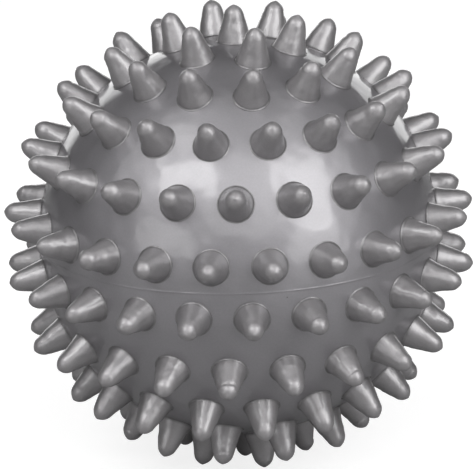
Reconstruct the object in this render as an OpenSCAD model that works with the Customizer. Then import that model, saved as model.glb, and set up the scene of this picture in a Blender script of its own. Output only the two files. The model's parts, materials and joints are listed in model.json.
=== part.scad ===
// Sensory ball: a hollow soft ball covered in blunt spikes, with a plug valve at the back.
// The origin is the ball's centre, and Z runs through the two pole spikes.

/* [Skin] */
// Outside diameter of the smooth skin between the spikes
skin_d = 84.6; // [76:0.2:120]
// Wall of the hollow skin
skin_t = 2.6; // [1.6:0.1:4]
// Height of the raised mould line above the skin
seam_h = 0.15; // [0.05:0.05:0.4]
// Width of the raised mould line, both halves together
seam_w = 0.8; // [0.4:0.1:2]

/* [Spikes] */
// Height of a spike above the skin
spike_h = 7.7; // [5:0.1:12]
// Diameter of a spike just above its root flare
spike_base_d = 7; // [5.4:0.1:7.6]
// Diameter of the round tip
spike_tip_d = 3.9; // [2:0.1:5]
// Radius of the flare between a spike and the skin
root_flare_r = 0.2; // [0.1:0.1:0.6]
// Spikes in each row, from the mould line to the pole
row_counts = [22, 20, 17, 12, 6]; // [3:1:22]
// Latitude of each row in degrees, from the mould line to the pole
row_lats = [7.5, 25, 42, 58, 74]; // [6:0.5:76]
// Turn of each upper row, as a share of the angle between its spikes
upper_turn_shares = [0.51, 0.96, 0.55, 0.28, 0.32]; // [0:0.01:1]
// Turn of each lower row, as a share of the angle between its spikes
lower_turn_shares = [0.18, 0.77, 0.32, 0.65, 0.29]; // [0:0.01:1]

/* [Valve] */
// Direction of the valve round the ball, in degrees from the front
valve_turn = 180; // [178:0.5:182]
// Latitude of the valve, as a share of the way from the first row to the second
valve_lat_share = 0.39; // [0.34:0.01:0.44]
// Diameter of the housing where it passes through the skin
housing_d = 7.2; // [6.6:0.1:8]
// Length of the housing, inwards from the skin's outside
housing_l = 10; // [9.5:0.5:16]
// Diameter of the flange that holds the housing inside the skin
flange_d = 11; // [9:0.5:16]
// Thickness of the flange at its rim
flange_t = 1.2; // [0.8:0.1:2]
// Diameter of the plug's shank
shank_d = 4.2; // [3.4:0.1:4.4]
// Length of the whole plug
plug_l = 9; // [7.5:0.1:9.4]
// Diameter of the plug's flat head
head_d = 5.6; // [5:0.1:6]
// Thickness of the plug's flat head
head_t = 1; // [0.6:0.1:1.4]
// Diameter of the pilot hole for a pump needle
needle_d = 2.2; // [1.8:0.1:2.6]
// Depth of the pilot hole
needle_l = 6; // [3:0.1:6.4]
// Width of the taper at the end of the shank
shank_taper = 0.5; // [0.2:0.1:0.8]

/* [Hidden] */

// Gap left at a bonded face, and the plug's running clearance all round
bond_gap = 0.02;
running_gap = 0.05;
// How far a cutting shape runs past what it cuts
overrun = 1;

skin_colour = "#8f9092";
spike_colour = "#87888b";
valve_colour = "#77787b";

skin_r = skin_d / 2;
inner_r = skin_r - skin_t;
base_r = spike_base_d / 2;
tip_r = spike_tip_d / 2;
housing_r = housing_d / 2;
flange_r = flange_d / 2;
shank_r = shank_d / 2;
head_r = head_d / 2;
needle_r = needle_d / 2;

skin_facets = 128;
spike_facets = 32;
valve_facets = 64;
seat_steps = 3;
flare_steps = 2;
dome_steps = 8;

// The spike's section, from its axis outwards and up: a seat that follows the skin, the root flare,
// and a straight flank that leans in and runs smoothly into the round tip
seat_r = skin_r + bond_gap;
seat_edge = base_r + root_flare_r;
seat_angle = asin(seat_edge / seat_r);
flare_top = seat_r * cos(seat_angle) + root_flare_r;
tip_z = skin_r + spike_h - tip_r;
tip_rise = tip_z - flare_top;
flank_angle = acos(tip_r / norm([base_r, tip_rise])) - atan2(tip_rise, base_r);
seat_points = [
    for (i = [0:seat_steps])
        seat_r * [sin(seat_angle * i / seat_steps), cos(seat_angle * i / seat_steps)]
];
flare_points = [
    for (i = [1:flare_steps])
        let (a = 90 * i / flare_steps)
            [seat_edge, flare_top] - root_flare_r * [sin(a), cos(a)]
];
dome_points = [
    for (i = [0:dome_steps])
        let (a = flank_angle + (90 - flank_angle) * i / dome_steps)
            [0, tip_z] + tip_r * [cos(a), sin(a)]
];

// Heights along the valve's axis, from the ball's centre
valve_lat = row_lats[0] + valve_lat_share * (row_lats[1] - row_lats[0]);
housing_end = skin_r - housing_l;
flange_end = sqrt(inner_r * inner_r - flange_r * flange_r) - flange_t;
head_top = sqrt(skin_r * skin_r - head_r * head_r);
head_seat = head_top - head_t;
plug_end = head_top - plug_l;

// Turns +Z to a place on the ball, given round it from the front and up from the mould line
module at_place(turn, lat) {
    rotate([0, 0, turn - 90])
        rotate([0, 90 - lat, 0])
            children();
}

module spike() {
    rotate_extrude($fn = spike_facets)
        polygon(concat(seat_points, flare_points, dome_points));
}

// One row of spikes: side is 1 above the mould line and -1 below it
module spike_row(row, side, turn_shares) {
    pitch = 360 / row_counts[row];
    color(spike_colour)
        for (i = [0:row_counts[row] - 1])
            at_place(pitch * (i + turn_shares[row]), side * row_lats[row])
                spike();
}

// The outside of the upper half, with its half of the mould line
module skin_dome() {
    difference() {
        sphere(skin_r, $fn = skin_facets);
        translate([0, 0, -skin_r - overrun])
            cylinder(h = skin_r + overrun, r = skin_r + overrun, $fn = skin_facets);
    }
    rotate_extrude($fn = skin_facets)
        polygon([
            [skin_r - skin_t / 2, 0],
            [skin_r + seam_h, 0],
            [skin_r + seam_h, seam_w / 4],
            [skin_r - skin_t / 2, seam_w / 2]
        ]);
}

module upper_skin() {
    color(skin_colour)
        difference() {
            skin_dome();
            sphere(inner_r, $fn = skin_facets);
            at_place(valve_turn, valve_lat)
                translate([0, 0, housing_end])
                    cylinder(h = housing_l + overrun, r = housing_r + bond_gap, $fn = valve_facets);
        }
}

module lower_skin() {
    color(skin_colour)
        mirror([0, 0, 1])
            difference() {
                skin_dome();
                sphere(inner_r, $fn = skin_facets);
            }
}

module top_spike() {
    color(spike_colour)
        spike();
}

module bottom_spike() {
    color(spike_colour)
        mirror([0, 0, 1])
            spike();
}

module upper_row_1() {
    spike_row(0, 1, upper_turn_shares);
}

module upper_row_2() {
    spike_row(1, 1, upper_turn_shares);
}

module upper_row_3() {
    spike_row(2, 1, upper_turn_shares);
}

module upper_row_4() {
    spike_row(3, 1, upper_turn_shares);
}

module upper_row_5() {
    spike_row(4, 1, upper_turn_shares);
}

module lower_row_1() {
    spike_row(0, -1, lower_turn_shares);
}

module lower_row_2() {
    spike_row(1, -1, lower_turn_shares);
}

module lower_row_3() {
    spike_row(2, -1, lower_turn_shares);
}

module lower_row_4() {
    spike_row(3, -1, lower_turn_shares);
}

module lower_row_5() {
    spike_row(4, -1, lower_turn_shares);
}

// Collar through the skin, flush outside, with a flange bonded to the skin's inside
module valve_housing() {
    color(valve_colour)
        at_place(valve_turn, valve_lat)
            difference() {
                union() {
                    intersection() {
                        translate([0, 0, housing_end])
                            cylinder(h = housing_l + overrun, r = housing_r, $fn = valve_facets);
                        sphere(skin_r, $fn = skin_facets);
                    }
                    intersection() {
                        translate([0, 0, flange_end])
                            cylinder(h = skin_r - flange_end, r = flange_r, $fn = valve_facets);
                        sphere(inner_r - bond_gap, $fn = skin_facets);
                    }
                }
                translate([0, 0, housing_end - overrun])
                    cylinder(h = housing_l + 2 * overrun, r = shank_r + running_gap, $fn = valve_facets);
                translate([0, 0, head_seat - bond_gap])
                    cylinder(h = head_t + 2 * overrun, r = head_r + running_gap, $fn = valve_facets);
            }
}

// Stopper with a flat head, a tapered end and a blind hole for a pump needle
module valve_plug() {
    color(valve_colour)
        at_place(valve_turn, valve_lat)
            difference() {
                union() {
                    translate([0, 0, plug_end])
                        cylinder(h = shank_taper, r1 = shank_r - shank_taper, r2 = shank_r, $fn = valve_facets);
                    translate([0, 0, plug_end + shank_taper])
                        cylinder(h = plug_l - shank_taper, r = shank_r, $fn = valve_facets);
                    translate([0, 0, head_seat])
                        cylinder(h = head_t, r = head_r, $fn = valve_facets);
                }
                translate([0, 0, head_top - needle_l])
                    cylinder(h = needle_l + overrun, r = needle_r, $fn = valve_facets);
            }
}

upper_skin();
lower_skin();
top_spike();
bottom_spike();
upper_row_1();
upper_row_2();
upper_row_3();
upper_row_4();
upper_row_5();
lower_row_1();
lower_row_2();
lower_row_3();
lower_row_4();
lower_row_5();
valve_housing();
valve_plug();
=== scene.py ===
import json
import math
import random
import bmesh
import bpy
from mathutils import Matrix, Vector, noise


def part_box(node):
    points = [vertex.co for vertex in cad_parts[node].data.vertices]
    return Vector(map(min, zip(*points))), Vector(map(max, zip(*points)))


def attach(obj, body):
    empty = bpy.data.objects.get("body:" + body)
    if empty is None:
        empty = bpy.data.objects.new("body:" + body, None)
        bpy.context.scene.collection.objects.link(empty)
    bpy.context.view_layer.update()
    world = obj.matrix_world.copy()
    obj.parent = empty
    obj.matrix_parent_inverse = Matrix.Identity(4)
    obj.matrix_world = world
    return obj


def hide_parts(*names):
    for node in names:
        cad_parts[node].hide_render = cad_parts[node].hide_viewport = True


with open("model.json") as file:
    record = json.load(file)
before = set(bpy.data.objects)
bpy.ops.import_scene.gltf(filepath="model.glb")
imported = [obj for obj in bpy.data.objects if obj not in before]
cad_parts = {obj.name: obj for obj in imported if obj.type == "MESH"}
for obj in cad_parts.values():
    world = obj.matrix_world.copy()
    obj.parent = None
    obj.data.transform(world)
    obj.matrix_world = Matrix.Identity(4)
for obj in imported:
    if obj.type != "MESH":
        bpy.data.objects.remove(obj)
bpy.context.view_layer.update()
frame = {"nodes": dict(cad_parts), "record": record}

mm = 0.001
onAxis = 1e-6 * mm                           # a point nearer than this to its axis lies on it
skinRadius = -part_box("lower_skin")[0].z      # the ball's centre is the origin
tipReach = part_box("top_spike")[1].z
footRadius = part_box("top_spike")[1].x        # of a spike, over its root flare
mounts = {mount["name"]: mount for mount in frame["record"]["mounts"]}
valveAxis = Vector(mounts["needle_bore"]["axis"]).normalized()
print("frame loaded, skin radius", round(skinRadius / mm, 2), "mm")


# Node helpers

def addNode(tree, kind, **values):
    node = tree.nodes.new(kind)
    for key, value in values.items():
        setattr(node, key, value)
    return node


def setInput(tree, socket, value):
    if isinstance(value, bpy.types.NodeSocket):
        tree.links.new(value, socket)
    elif value is not None:
        socket.default_value = value


def mathNode(tree, operation, first, second=None, clamp=False):
    node = addNode(tree, "ShaderNodeMath", operation=operation, use_clamp=clamp)
    setInput(tree, node.inputs[0], first)
    setInput(tree, node.inputs[1], second)
    return node.outputs[0]


def mapNode(tree, value, fromRange, toRange=(0.0, 1.0), smooth=False):
    node = addNode(tree, "ShaderNodeMapRange")
    if smooth:
        node.interpolation_type = "SMOOTHSTEP"
    labels = ("Value", "From Min", "From Max", "To Min", "To Max")
    for label, setting in zip(labels, (value, *fromRange, *toRange)):
        setInput(tree, node.inputs[label], setting)
    return node.outputs["Result"]


def mixColour(tree, share, first, second):
    node = addNode(tree, "ShaderNodeMix", data_type="RGBA")
    for label, value in (("Factor", share), ("A", first), ("B", second)):
        setInput(tree, node.inputs[label], value)
    return node.outputs["Result"]


def noiseNode(tree, vector, scale, detail, roughness=0.5):
    node = addNode(tree, "ShaderNodeTexNoise")
    for label, value in (("Vector", vector), ("Scale", scale),
                         ("Detail", detail), ("Roughness", roughness)):
        setInput(tree, node.inputs[label], value)
    return node.outputs["Fac"]


def newGroup(name, inputs, outputs):
    group = bpy.data.node_groups.new(name, "ShaderNodeTree")
    for label, kind, value in inputs:
        socket = group.interface.new_socket(label, in_out="INPUT", socket_type=kind)
        if value is not None:
            socket.default_value = value
    for label, kind in outputs:
        group.interface.new_socket(label, in_out="OUTPUT", socket_type=kind)
    return group, group.nodes.new("NodeGroupInput"), group.nodes.new("NodeGroupOutput")


# Surface effects that all the materials share: scales are per metre

pigmentSet = {
    "cloudDetail": 3.0, "cloudRoughness": 0.55, "grainScale": 2600.0, "grainDetail": 1.0,
}
unevenSet = {"waveDetail": 2.0, "peelScale": 1500.0, "peelDetail": 2.0, "peelShare": 0.08}
# the Root mask is painted shade round the spikes' roots; the Tip and Speck masks are wear and dark
# specks
wearAndRootShadeSet = {
    "rootHeight": 0.6 * mm, "patchScale": 420.0, "patchDetail": 2.0, "patchFrom": (0.35, 0.6),
    "patchTo": (0.5, 1.0), "tipFrom": (0.7, 1.0), "speckScale": 110.0, "speckSize": 0.02,
}


# Cloudy and grainy mask of the silver pigment in the plastic
def makePigmentGroup():
    s = pigmentSet
    group, start, end = newGroup(
        "pigmentFlow",
        [("Vector", "NodeSocketVector", None), ("Cloud Scale", "NodeSocketFloat", None),
         ("Grain Scale", "NodeSocketFloat", s["grainScale"]),
         ("Grain Share", "NodeSocketFloat", None)],
        [("Mask", "NodeSocketFloat")])
    vector = start.outputs["Vector"]
    cloud = noiseNode(group, vector, start.outputs["Cloud Scale"], s["cloudDetail"],
                      s["cloudRoughness"])
    grain = noiseNode(group, vector, start.outputs["Grain Scale"], s["grainDetail"])
    mix = addNode(group, "ShaderNodeMix", data_type="FLOAT")
    group.links.new(start.outputs["Grain Share"], mix.inputs[0])
    group.links.new(cloud, mix.inputs[2])
    group.links.new(grain, mix.inputs[3])
    group.links.new(mix.outputs[0], end.inputs["Mask"])
    return group


# Height of the soft surface's slight unevenness: slow waves, and a fine orange peel
def makeUnevenGroup():
    s = unevenSet
    group, start, end = newGroup(
        "mouldedSurface",
        [("Vector", "NodeSocketVector", None), ("Wave Scale", "NodeSocketFloat", None),
         ("Peel Scale", "NodeSocketFloat", s["peelScale"]),
         ("Peel Share", "NodeSocketFloat", s["peelShare"])],
        [("Height", "NodeSocketFloat")])
    vector = start.outputs["Vector"]
    wave = noiseNode(group, vector, start.outputs["Wave Scale"], s["waveDetail"])
    peel = noiseNode(group, vector, start.outputs["Peel Scale"], s["peelDetail"])
    share = mathNode(group, "MULTIPLY", peel, start.outputs["Peel Share"])
    group.links.new(mathNode(group, "ADD", wave, share), end.inputs["Height"])
    return group


# Masks: painted shade round a spike's root, broken into patches, a tip rubbed dull by hands, and a
# few dark specks
def makeWearAndRootShadeGroup():
    s = wearAndRootShadeSet
    group, start, end = newGroup(
        "wearAndRootShade",
        [("Vector", "NodeSocketVector", None), ("Skin Radius", "NodeSocketFloat", skinRadius),
         ("Tip Radius", "NodeSocketFloat", tipReach),
         ("Root Height", "NodeSocketFloat", s["rootHeight"]),
         ("Speck Scale", "NodeSocketFloat", s["speckScale"]),
         ("Speck Size", "NodeSocketFloat", s["speckSize"])],
        [("Root", "NodeSocketFloat"), ("Tip", "NodeSocketFloat"), ("Speck", "NodeSocketFloat")])
    vector = start.outputs["Vector"]
    length = addNode(group, "ShaderNodeVectorMath", operation="LENGTH")
    group.links.new(vector, length.inputs[0])
    height = mathNode(group, "SUBTRACT", length.outputs["Value"], start.outputs["Skin Radius"])
    patchy = noiseNode(group, vector, s["patchScale"], s["patchDetail"])

    # painted shade: darkest where the root meets the skin, fading out over the root height
    rise = mathNode(group, "DIVIDE", height, start.outputs["Root Height"], clamp=True)
    low = mathNode(group, "SUBTRACT", 1.0, rise, clamp=True)
    patches = mapNode(group, patchy, s["patchFrom"], s["patchTo"])
    group.links.new(mathNode(group, "MULTIPLY", low, patches), end.inputs["Root"])

    reach = mathNode(group, "SUBTRACT", start.outputs["Tip Radius"], start.outputs["Skin Radius"])
    top = mapNode(group, mathNode(group, "DIVIDE", height, reach), s["tipFrom"], smooth=True)
    group.links.new(mathNode(group, "MULTIPLY", top, patchy), end.inputs["Tip"])

    cells = addNode(group, "ShaderNodeTexVoronoi")
    group.links.new(vector, cells.inputs["Vector"])
    group.links.new(start.outputs["Speck Scale"], cells.inputs["Scale"])
    dot = mathNode(group, "LESS_THAN", cells.outputs["Distance"], start.outputs["Speck Size"])
    group.links.new(dot, end.inputs["Speck"])
    return group


pigmentGroup = makePigmentGroup()
unevenGroup = makeUnevenGroup()
wearAndRootShadeGroup = makeWearAndRootShadeGroup()


# Materials: a silver-grey flake base under a clear glossy face

skinFinish = {
    "dark": (0.25, 0.243, 0.256), "light": (0.342, 0.332, 0.35), "metallic": 0.75,
    "roughness": (0.46, 0.54), "coat": 1.0, "coatRoughness": 0.14, "coatIor": 1.55,
    "edgeTint": (0.12, 0.12, 0.12), "cloudScale": 60.0, "grainShare": 0.45, "bump": 0.05 * mm,
    "waveScale": 140.0, "rootShade": 0.0, "speckShade": 0.5, "tipWear": 0.2, "tipDull": 4.0,
    "shadeAndSpeckTone": (0.02, 0.02, 0.021),
}
# the spikes' greys are set lighter than the skin's: painted light for the extra light the spikes
# catch. Their roots get painted shade (rootShade).
spikeFinish = dict(
    skinFinish, dark=(0.275, 0.267, 0.277), light=(0.375, 0.364, 0.37), metallic=0.7,
    roughness=(0.45, 0.54), coat=0.9, coatRoughness=0.16, bump=0.12 * mm, waveScale=420.0,
    rootShade=0.5)
housingFinish = dict(
    skinFinish, dark=(0.17, 0.17, 0.175), light=(0.22, 0.22, 0.225), metallic=0.3,
    roughness=(0.42, 0.52), coat=0.3, coatRoughness=0.2)
plugFinish = dict(
    housingFinish, dark=(0.1, 0.1, 0.105), light=(0.14, 0.14, 0.145), metallic=0.1)


def pearlPlastic(name, finish):
    material = bpy.data.materials.new(name)
    material.use_nodes = True
    tree = material.node_tree
    shader = tree.nodes["Principled BSDF"]
    coords = addNode(tree, "ShaderNodeTexCoord").outputs["Object"]

    pigment = addNode(tree, "ShaderNodeGroup", node_tree=pigmentGroup)
    pigment.inputs["Cloud Scale"].default_value = finish["cloudScale"]
    pigment.inputs["Grain Share"].default_value = finish["grainShare"]
    uneven = addNode(tree, "ShaderNodeGroup", node_tree=unevenGroup)
    uneven.inputs["Wave Scale"].default_value = finish["waveScale"]
    rootShadeAndWear = addNode(tree, "ShaderNodeGroup", node_tree=wearAndRootShadeGroup)
    for group in (pigment, uneven, rootShadeAndWear):
        tree.links.new(coords, group.inputs["Vector"])

    # colour: the pigment's two greys, darkened by painted shade round the spikes' roots and by
    # dark specks
    mask = pigment.outputs["Mask"]
    # painted shade: the Root mask darkens the base colour round the spikes' roots, where contact
    # shade falls
    root = mathNode(tree, "MULTIPLY", rootShadeAndWear.outputs["Root"], finish["rootShade"])
    speck = mathNode(tree, "MULTIPLY", rootShadeAndWear.outputs["Speck"], finish["speckShade"])
    rootShadeAndSpecks = mathNode(tree, "MAXIMUM", root, speck)
    colour = mixColour(tree, mask, (*finish["dark"], 1), (*finish["light"], 1))
    colour = mixColour(tree, rootShadeAndSpecks, colour, (*finish["shadeAndSpeckTone"], 1))
    tree.links.new(colour, shader.inputs["Base Color"])

    # gloss: less of it where the tips are rubbed, and no clear face over the painted root shade
    # and the specks
    rough = mapNode(tree, mask, (0.0, 1.0), finish["roughness"])
    rubbed = mathNode(tree, "MULTIPLY", rootShadeAndWear.outputs["Tip"], finish["tipWear"])
    tree.links.new(mathNode(tree, "ADD", rough, rubbed), shader.inputs["Roughness"])
    rubbedOff = mathNode(tree, "MULTIPLY", rubbed, finish["tipDull"])
    dulled = mathNode(tree, "ADD", rootShadeAndSpecks, rubbedOff, clamp=True)
    clear = mathNode(tree, "SUBTRACT", 1.0, dulled)
    coat = mathNode(tree, "MULTIPLY", clear, finish["coat"])
    tree.links.new(coat, shader.inputs["Coat Weight"])

    bump = addNode(tree, "ShaderNodeBump")
    bump.inputs["Strength"].default_value = 1.0
    bump.inputs["Distance"].default_value = finish["bump"]
    tree.links.new(uneven.outputs["Height"], bump.inputs["Height"])
    tree.links.new(bump.outputs["Normal"], shader.inputs["Normal"])

    shader.inputs["Metallic"].default_value = finish["metallic"]
    # the flakes lie under the clear face, so at a glancing view they stay darker than bare metal
    shader.inputs["Specular Tint"].default_value = (*finish["edgeTint"], 1)
    shader.inputs["Coat Roughness"].default_value = finish["coatRoughness"]
    shader.inputs["Coat IOR"].default_value = finish["coatIor"]
    return material


skinPlastic = pearlPlastic("skinPlastic", skinFinish)
spikePlastic = pearlPlastic("spikePlastic", spikeFinish)
housingRubber = pearlPlastic("housingRubber", housingFinish)
plugRubber = pearlPlastic("plugRubber", plugFinish)
print("materials made")


# Mesh helpers

# A shape turned round an axis through the ball's centre, from (radius, height) pairs.
# bend(point) may move a point before the axis is tilted to its place.
def lathe(bm, profile, axis, segments, bend=None, closed=False):
    turn = Vector((0, 0, 1)).rotation_difference(axis).to_matrix()
    angles = [2 * math.pi * step / segments for step in range(segments)]
    rings = []
    for radius, height in profile:
        if radius < onAxis:
            points = [Vector((0, 0, height))]
        else:
            points = [Vector((radius * math.cos(a), radius * math.sin(a), height)) for a in angles]
        if bend:
            points = [bend(point) for point in points]
        rings.append([bm.verts.new(turn @ point) for point in points])
    pairs = list(zip(rings, rings[1:]))
    if closed:
        pairs.append((rings[-1], rings[0]))
    for lower, upper in pairs:
        for step in range(segments):
            after = (step + 1) % segments
            if len(lower) == 1:
                bm.faces.new((lower[0], upper[after], upper[step]))
            elif len(upper) == 1:
                bm.faces.new((lower[step], lower[after], upper[0]))
            else:
                bm.faces.new((lower[step], lower[after], upper[after], upper[step]))


# Points on an arc of a profile, with its ends in degrees
def arc(centre, radius, start, end, steps):
    angles = [math.radians(start + (end - start) * step / steps) for step in range(steps + 1)]
    return [(centre[0] + radius * math.cos(a), centre[1] + radius * math.sin(a)) for a in angles]


# Edges sharper than the angle in degrees stay crisp
def finishMesh(bm, name, material, sharpAngle=50):
    bmesh.ops.recalc_face_normals(bm, faces=bm.faces)
    mesh = bpy.data.meshes.new(name)
    bm.to_mesh(mesh)
    bm.free()
    mesh.materials.append(material)
    mesh.shade_smooth()
    mesh.set_sharp_from_angle(angle=math.radians(sharpAngle))
    piece = bpy.data.objects.new(name, mesh)
    bpy.context.scene.collection.objects.link(piece)
    return piece


def placePiece(piece, body, node):
    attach(piece, body)
    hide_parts(node)
    print(piece.name, "made")


# Spikes: a rounded root, a straight flank that leans in, and a blunt arched tip.
# Each is a little dented, creased, leaned and shortened.

spikeSet = {
    "segments": 44, "flareSteps": 6, "flankSteps": 18, "tipSteps": 16,
    "flare": 0.4 * mm, "footSpread": 0.2 * mm, "sunk": 0.4 * mm,
    "tipHalfWidth": 2.08 * mm, "tipLength": 2.0 * mm,
    "creased": 0.75, "crease": 0.2 * mm, "creaseSpread": 0.25 * mm, "creaseNarrow": 3,
    "creaseDrop": 0.3 * mm,
    "dent": 0.15 * mm, "dentScale": 330.0, "fineDent": 0.4, "fineScale": 950.0,
    "dentBias": 0.15, "dentRise": 4, "dentShift": 50, "dentEnd": 0.98,
    "shorten": 0.1 * mm, "shortenLeast": 0.4, "lean": math.radians(0.7), "seed": 11,
}


def spikeProfile():
    s = spikeSet
    width, length = s["tipHalfWidth"], s["tipLength"]
    spread = footRadius + s["footSpread"]
    foot = Vector((spread, math.sqrt(skinRadius ** 2 - spread ** 2)))
    # the flare leaves the skin smoothly
    hub = foot * (1 + s["flare"] / skinRadius)
    join = Vector((width, tipReach - length))
    slope = math.atan2(hub.x - s["flare"] - width, join.y - hub.y)

    skinSlope = math.degrees(math.asin(spread / skinRadius))
    profile = [(spread, foot.y - s["sunk"])]
    profile += arc(hub, s["flare"], 270 - skinSlope, 180 + math.degrees(slope), s["flareSteps"])
    start = Vector(profile[-1])
    steps = s["flankSteps"]
    profile += [tuple(start.lerp(join, step / steps)) for step in range(1, steps)]
    # the tip's arc leaves the flank smoothly and ends on the axis
    across = 2 * (width * math.cos(slope) - length * math.sin(slope))
    radius = (width ** 2 + length ** 2) / across
    centre = join - radius * Vector((math.cos(slope), math.sin(slope)))
    top = math.acos(-centre.x / radius)
    profile += arc(centre, radius, math.degrees(slope), math.degrees(top), s["tipSteps"])
    profile[-1] = (0.0, profile[-1][1])
    return profile


# The tips of a node's spikes are its points farthest from the centre
def spikeAxes(nodeName, tipSlack=0.01 * mm, leastApart=0.02):
    axes = []
    for vertex in frame["nodes"][nodeName].data.vertices:
        if vertex.co.length > tipReach - tipSlack:
            axis = vertex.co.normalized()
            if all((axis - other).length > leastApart for other in axes):
                axes.append(axis)
    return sorted(axes, key=lambda axis: math.atan2(axis.x, -axis.y))


def addSpike(bm, profile, axis, chance):
    s = spikeSet
    least = s["shortenLeast"]
    short = s["shorten"] * (least + (1 - least) * chance.random())
    tilt = math.tan(chance.random() * s["lean"])
    side = chance.random() * 2 * math.pi
    sway = Vector((math.cos(side), math.sin(side), 0)) * tilt
    place = Vector([chance.random() * s["dentShift"] for step in range(3)])
    height = tipReach - skinRadius
    # the crease's side is worked out from the lean's, three times as far round
    fold = Vector((math.cos(3 * side), math.sin(3 * side), 0))
    foldPlace = tipReach - s["tipLength"] - s["creaseDrop"] * chance.random()
    foldDepth = s["crease"] * chance.random() if chance.random() < s["creased"] else 0.0

    # leans and shortens the spike a little, dents it, and creases one side of it below the tip
    def bend(point):
        share = min(1.0, max(0.0, (point.z - skinRadius) / height))
        rough = noise.noise(place + point * s["dentScale"])
        rough += s["fineDent"] * noise.noise(place + point * s["fineScale"])
        dent = s["dent"] * min(1.0, s["dentRise"] * share) * (rough - s["dentBias"])
        outward = Vector((0, 0, 0))
        if share < s["dentEnd"]:
            outward = Vector((point.x, point.y, 0)).normalized()
        away = (point.z - foldPlace) / s["creaseSpread"]
        facing = max(0.0, outward.dot(fold)) ** s["creaseNarrow"]
        crease = foldDepth * facing * math.exp(-away * away)
        drop = Vector((0, 0, short * share))
        return point + sway * share * share * height - drop + outward * (dent - crease)
    lathe(bm, profile, axis, s["segments"], bend)


def makeSpikes(nodeName, pieceName):
    chance = random.Random(f"{spikeSet['seed']}{nodeName}")
    bm = bmesh.new()
    profile = spikeProfile()
    for axis in spikeAxes(nodeName):
        addSpike(bm, profile, axis, chance)
    placePiece(finishMesh(bm, pieceName, spikePlastic), "ball", nodeName)


for half in ("upper", "lower"):
    for row in (1, 2, 3, 4, 5):
        makeSpikes(f"{half}_row_{row}", f"{half}Row{row}Spikes")
makeSpikes("top_spike", "topSpike")
makeSpikes("bottom_spike", "bottomSpike")


# Skin: two hollow halves, slightly wavy as soft blown plastic is, with a fine bead of flash at
# the mould line

skinSet = {
    "thickness": 2.6 * mm, "segments": 420, "rings": 120, "innerRings": 24,
    "beadHeight": 0.06 * mm, "beadWidth": 0.2 * mm, "beadRings": 14, "beadReach": 0.7 * mm,
    "beadLevel": 0.8, "beadVaries": 0.5, "beadScale": 30,
    "inset": 0.04 * mm, "wave": 0.11 * mm, "waveScale": 140.0, "waveSteps": 3,
}
skinInside = skinRadius - skinSet["thickness"]
waveScales = [skinSet["waveScale"] * 2 ** step for step in range(skinSet["waveSteps"])]


def onBall(longitude, latitude):
    return Vector((math.cos(latitude) * math.cos(longitude),
                   math.cos(latitude) * math.sin(longitude), math.sin(latitude)))


def skinPoint(longitude, latitude):
    s = skinSet
    direction = onBall(longitude, latitude)
    away = latitude * skinRadius / s["beadWidth"]
    level = s["beadLevel"] + s["beadVaries"] * noise.noise(direction * s["beadScale"])
    bead = s["beadHeight"] * math.exp(-away * away) * level
    wave = sum(noise.noise(direction * skinRadius * scale) * waveScales[0] / scale
               for scale in waveScales)
    return direction * (skinRadius - s["inset"] + s["wave"] * wave + bead)


# side is 1 for the upper half and -1 for the lower one
def makeHalfSkin(side):
    s = skinSet
    count = s["segments"]
    edge = s["beadReach"] / skinRadius
    near = [edge * step / s["beadRings"] for step in range(s["beadRings"])]
    far = [edge + (math.pi / 2 - edge) * step / s["rings"] for step in range(s["rings"])]
    inwards = [side * math.pi / 2 * step / s["innerRings"] for step in range(s["innerRings"])]
    turns = [2 * math.pi * step / count for step in range(count)]
    bm = bmesh.new()
    outer = [[bm.verts.new(skinPoint(turn, side * lat)) for turn in turns] for lat in near + far]
    inner = [[bm.verts.new(skinInside * onBall(turn, lat)) for turn in turns] for lat in inwards]
    outerPole = bm.verts.new(skinPoint(0, side * math.pi / 2))
    innerPole = bm.verts.new((0, 0, side * skinInside))
    for rings, pole in ((outer, outerPole), (inner, innerPole)):
        for lower, upper in zip(rings, rings[1:]):
            for step in range(count):
                after = (step + 1) % count
                bm.faces.new((lower[step], lower[after], upper[after], upper[step]))
        for step in range(count):
            bm.faces.new((rings[-1][step], rings[-1][(step + 1) % count], pole))
    for step in range(count):
        after = (step + 1) % count
        bm.faces.new((outer[0][after], outer[0][step], inner[0][step], inner[0][after]))
    return bm


# Valve: measured on the CAD pieces along their axis, then turned with rounded edges

valveSet = {
    "segments": 96, "sharpAngle": 35, "lipSteps": 6, "bond": 0.02 * mm, "running": 0.05 * mm,
    "collarDepth": 1.5 * mm,      # the collar's radius is measured down to this depth in the skin
    "shankDepth": 1.5 * mm,       # and the shank's from this depth under the head's top
    "holeLip": 0.35 * mm, "lipEnd": 105, "lipFlare": 0.4 * mm,
    "cutBelow": 6 * mm, "cutAbove": 2 * mm,
    "collarEdge": 0.25 * mm, "seatEdge": 0.2 * mm, "flange": 1.2 * mm,
    "headHeight": 1.0 * mm, "headEdge": 0.3 * mm, "dish": 0.18 * mm, "dishRadius": 2.1 * mm,
    "boreEdge": 0.25 * mm, "tail": 0.5 * mm,
}


# Greatest radius of a CAD node round the valve's axis, between two heights along it,
# and the node's lowest and highest point
def alongValve(nodeName, above=0.0, below=1.0):
    points = [vertex.co for vertex in frame["nodes"][nodeName].data.vertices]
    heights = [point.dot(valveAxis) for point in points]
    radii = [(point - valveAxis * height).length
             for point, height in zip(points, heights) if above < height < below]
    return max(radii), min(heights), max(heights)


collarRadius = alongValve("valve_housing", above=skinRadius - valveSet["collarDepth"])[0]
flangeRadius, housingEnd = alongValve("valve_housing")[:2]
headRadius, plugEnd, headTop = alongValve("valve_plug")
shankRadius = alongValve("valve_plug", below=headTop - valveSet["shankDepth"])[0]


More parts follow.
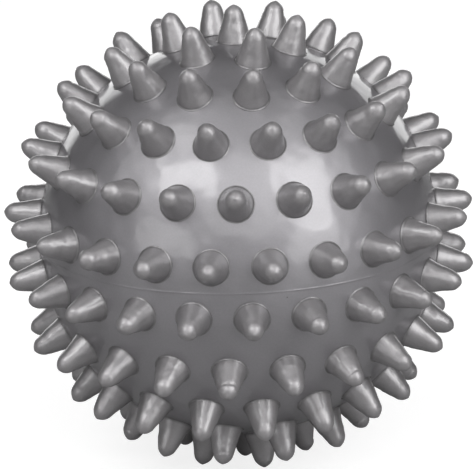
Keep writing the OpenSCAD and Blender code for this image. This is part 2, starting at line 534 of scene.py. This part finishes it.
# The hole through the skin, with a rounded lip, as a cutting shape
def makeHoleCutter():
    s = valveSet
    radius = collarRadius + s["bond"]
    lipRadius = radius + s["holeLip"]
    lipTop = math.sqrt(skinRadius ** 2 - lipRadius ** 2)
    lip = arc((lipRadius, lipTop - s["holeLip"]), s["holeLip"], 180, s["lipEnd"], s["lipSteps"])
    wide, rise = lip[-1][0] + s["lipFlare"], lip[-1][1] + s["lipFlare"]
    under, over = skinRadius - s["cutBelow"], skinRadius + s["cutAbove"]
    profile = [(0.0, under), (radius, under)] + lip + [(wide, rise), (wide, over), (0.0, over)]
    bm = bmesh.new()
    lathe(bm, profile, valveAxis, s["segments"])
    return finishMesh(bm, "holeCutter", skinPlastic)


def cutHole(piece, cutter):
    modifier = piece.modifiers.new("hole", "BOOLEAN")
    modifier.operation = "DIFFERENCE"
    modifier.solver = "EXACT"
    modifier.object = cutter
    bpy.context.view_layer.update()
    shaped = piece.evaluated_get(bpy.context.evaluated_depsgraph_get())
    mesh = bpy.data.meshes.new_from_object(shaped)
    piece.modifiers.clear()
    old = piece.data
    piece.data = mesh
    bpy.data.meshes.remove(old)
    bpy.data.objects.remove(cutter)


upperSkin = finishMesh(makeHalfSkin(1), "upperSkin", skinPlastic)
cutHole(upperSkin, makeHoleCutter())
placePiece(upperSkin, "ball", "upper_skin")
placePiece(finishMesh(makeHalfSkin(-1), "lowerSkin", skinPlastic), "ball", "lower_skin")


def makeHousing():
    s = valveSet
    edge, seatEdge = s["collarEdge"], s["seatEdge"]
    bore, seat = shankRadius + s["running"], headRadius + s["running"]
    innerRadius = skinInside - s["bond"]
    flangeRim = math.sqrt(innerRadius ** 2 - flangeRadius ** 2)
    flangeTop = math.sqrt(innerRadius ** 2 - collarRadius ** 2)
    flangeUnder = flangeRim - s["flange"]
    rim = math.sqrt(skinRadius ** 2 - collarRadius ** 2)
    crown = math.sqrt(skinRadius ** 2 - (seat + seatEdge) ** 2)
    seatFloor = headTop - s["headHeight"] - s["bond"]
    profile = [(bore, housingEnd), (collarRadius, housingEnd), (collarRadius, flangeUnder)]
    profile += [(flangeRadius, flangeUnder), (flangeRadius, flangeRim), (collarRadius, flangeTop)]
    profile += arc((collarRadius - edge, rim - edge), edge, 0, 90, s["lipSteps"])
    profile += arc((seat + seatEdge, crown - seatEdge), seatEdge, 90, 180, s["lipSteps"])
    profile += [(seat, seatFloor), (bore, seatFloor)]
    bm = bmesh.new()
    lathe(bm, profile, valveAxis, s["segments"], closed=True)
    housing = finishMesh(bm, "valveHousing", housingRubber, s["sharpAngle"])
    placePiece(housing, "ball", "valve_housing")


def makePlug():
    s = valveSet
    dims = mounts["needle_bore"]["dims"]
    bore, boreEnd = dims["r_mm"] * mm, headTop - dims["length_mm"] * mm
    under, dishFloor = headTop - s["headHeight"], headTop - s["dish"]
    edge, boreEdge = s["headEdge"], s["boreEdge"]
    profile = [(0.0, plugEnd), (shankRadius - s["tail"], plugEnd)]
    profile += [(shankRadius, plugEnd + s["tail"]), (shankRadius, under), (headRadius, under)]
    profile += arc((headRadius - edge, headTop - edge), edge, 0, 90, s["lipSteps"])
    profile += [(s["dishRadius"] + s["dish"], headTop), (s["dishRadius"], dishFloor)]
    profile += arc((bore + boreEdge, dishFloor - boreEdge), boreEdge, 90, 180, s["lipSteps"])
    profile += [(bore, boreEnd), (0.0, boreEnd)]
    bm = bmesh.new()
    lathe(bm, profile, valveAxis, s["segments"])
    plug = finishMesh(bm, "valvePlug", plugRubber, s["sharpAngle"])
    placePiece(plug, "plug", "valve_plug")


makeHousing()
makePlug()


# Stage: pale floor, soft lamps and the camera

stageSet = {
    "floorSize": 6.0, "floorGap": 0.02 * mm, "floorColour": (0.38, 0.38, 0.38),
    "floorRoughness": 0.9, "floorGlow": 0.8,
    # where the backdrop that the gloss mirrors starts and is full: how far back a direction
    # points, how low it lies, and how far behind the ball the floor is
    "backdropSides": (0.80, 0.83), "backdropTop": (0.40, 0.34), "backdropStart": (0.25, 0.8),
    "ambient": 0.04,
}
cameraSet = {
    "distance": 872 * mm, "elevation": math.radians(16.75), "roll": math.radians(1.59),
    "framePixels": 475, "focalPixels": 4114, "aimShift": (-0.34 * mm, -0.15 * mm),
    "sensorWidth": 36.0, "clipStart": 0.01,
}
# Each lamp: compass direction from the front, height angle, roll, distance, size across and up,
# watts
lampSet = {
    "leftSoftbox": (-41.5, 44.9, 17, 0.9, 0.51, 0.29, 2.15),
    "leftUpper": (-70, 62, 0, 0.9, 0.3, 0.24, 0.4),
    "rightSoftbox": (45.4, 34.2, -19.5, 0.9, 0.52, 0.64, 3.6),
    "topSoftbox": (0, 84, 0, 1.0, 0.9, 0.7, 0.8),
    "frontSoftbox": (0, 38.5, 0, 1.1, 0.8, 0.98, 3.5),
    "leftFill": (-68, 44, 0, 1.0, 0.8, 0.9, 1.8),
    "rightFill": (62, 42, 0, 1.0, 0.8, 1.0, 2.0),
    "leftLow": (-42, 10, 0, 1.0, 0.6, 0.3, 1.2),
    "rightLow": (44, 8, 0, 1.0, 0.6, 0.3, 1.4),
    "backPanel": (180, 9.5, 0, 1.1, 1.5, 0.5, 2.2),
}


def vectorPart(tree, vector, label):
    node = addNode(tree, "ShaderNodeSeparateXYZ")
    tree.links.new(vector, node.inputs[0])
    return node.outputs[label]


# 1 to the camera and through clear things, and in a mirror image the product of two masks
def backdropShare(tree, first, second):
    path = addNode(tree, "ShaderNodeLightPath").outputs
    mirrored = mathNode(tree, "MULTIPLY", path["Is Glossy Ray"],
                        mathNode(tree, "MULTIPLY", first, second))
    seen = mathNode(tree, "MAXIMUM", path["Is Camera Ray"], path["Is Transmission Ray"])
    return mathNode(tree, "MAXIMUM", seen, mirrored)


def makeFloor():
    s = stageSet
    half = s["floorSize"] / 2
    level = -tipReach - s["floorGap"]
    corners = [(x * half, y * half, level) for x, y in ((-1, -1), (1, -1), (1, 1), (-1, 1))]
    bm = bmesh.new()
    bm.faces.new([bm.verts.new(corner) for corner in corners])
    floor = finishMesh(bm, "floor", bpy.data.materials.new("floorPaper"))
    floor.active_material.use_nodes = True
    tree = floor.active_material.node_tree
    shader = tree.nodes["Principled BSDF"]
    shader.inputs["Base Color"].default_value = (*s["floorColour"], 1)
    shader.inputs["Roughness"].default_value = s["floorRoughness"]
    shader.inputs["Specular IOR Level"].default_value = 0.0
    # mirrored, the paper is bright only where it runs away behind the ball
    place = addNode(tree, "ShaderNodeTexCoord").outputs["Object"]
    direction = addNode(tree, "ShaderNodeVectorMath", operation="NORMALIZE")
    tree.links.new(place, direction.inputs[0])
    towards = vectorPart(tree, direction.outputs["Vector"], "Y")
    sides = mapNode(tree, towards, s["backdropSides"], smooth=True)
    away = mapNode(tree, vectorPart(tree, place, "Y"), s["backdropStart"], smooth=True)
    glow = addNode(tree, "ShaderNodeEmission")
    lit = mathNode(tree, "MULTIPLY", backdropShare(tree, sides, away), s["floorGlow"])
    tree.links.new(lit, glow.inputs["Strength"])
    both = addNode(tree, "ShaderNodeAddShader")
    tree.links.new(shader.outputs[0], both.inputs[0])
    tree.links.new(glow.outputs[0], both.inputs[1])
    tree.links.new(both.outputs[0], tree.nodes["Material Output"].inputs["Surface"])


# White to the camera, dim as a light, and in the plastic's gloss a white backdrop behind the ball
def makeWorld():
    s = stageSet
    world = bpy.data.worlds.new("studioWorld")
    bpy.context.scene.world = world
    world.use_nodes = True
    tree = world.node_tree
    background = tree.nodes["Background"]
    background.inputs["Color"].default_value = (1, 1, 1, 1)
    direction = addNode(tree, "ShaderNodeTexCoord").outputs["Generated"]
    sides = mapNode(tree, vectorPart(tree, direction, "Y"), s["backdropSides"], smooth=True)
    low = mapNode(tree, vectorPart(tree, direction, "Z"), s["backdropTop"], smooth=True)
    lift = mathNode(tree, "MULTIPLY", backdropShare(tree, sides, low), 1.0 - s["ambient"])
    tree.links.new(mathNode(tree, "ADD", lift, s["ambient"]), background.inputs["Strength"])


def makeLamp(name, compass, height, roll, distance, across, up, watts):
    lamp = bpy.data.lights.new(name, "AREA")
    lamp.shape = "RECTANGLE"
    lamp.size, lamp.size_y = across, up
    lamp.energy = watts
    turn, rise = math.radians(compass), math.radians(height)
    towards = Vector((math.cos(rise) * math.sin(turn),
                      -math.cos(rise) * math.cos(turn), math.sin(rise)))
    holder = bpy.data.objects.new(name, lamp)
    holder.location = towards * distance
    facing = towards.to_track_quat("Z", "Y").to_matrix()
    holder.rotation_euler = (facing @ Matrix.Rotation(math.radians(roll), 3, "Z")).to_euler()
    bpy.context.scene.collection.objects.link(holder)


def makeCamera():
    s = cameraSet
    rise, roll = s["elevation"], s["roll"]
    data = bpy.data.cameras.new("camera")
    data.sensor_width = s["sensorWidth"]
    data.lens = data.sensor_width * s["focalPixels"] / s["framePixels"]
    data.clip_start = s["clipStart"]
    camera = bpy.data.objects.new("camera", data)
    bpy.context.scene.collection.objects.link(camera)
    towards = Vector((0, -math.cos(rise), math.sin(rise)))
    right, up = Vector((1, 0, 0)), Vector((0, math.sin(rise), math.cos(rise)))
    rolledRight = right * math.cos(roll) - up * math.sin(roll)
    rolledUp = right * math.sin(roll) + up * math.cos(roll)
    shiftRight, shiftUp = s["aimShift"]
    place = towards * s["distance"] + rolledRight * shiftRight + rolledUp * shiftUp
    turned = Matrix((rolledRight, rolledUp, towards)).transposed().to_4x4()
    camera.matrix_world = Matrix.Translation(place) @ turned
    bpy.context.scene.camera = camera


makeFloor()
makeWorld()
for lampName, values in lampSet.items():
    makeLamp(lampName, *values)
makeCamera()
bpy.context.scene.view_settings.view_transform = "Standard"
print("stage set")
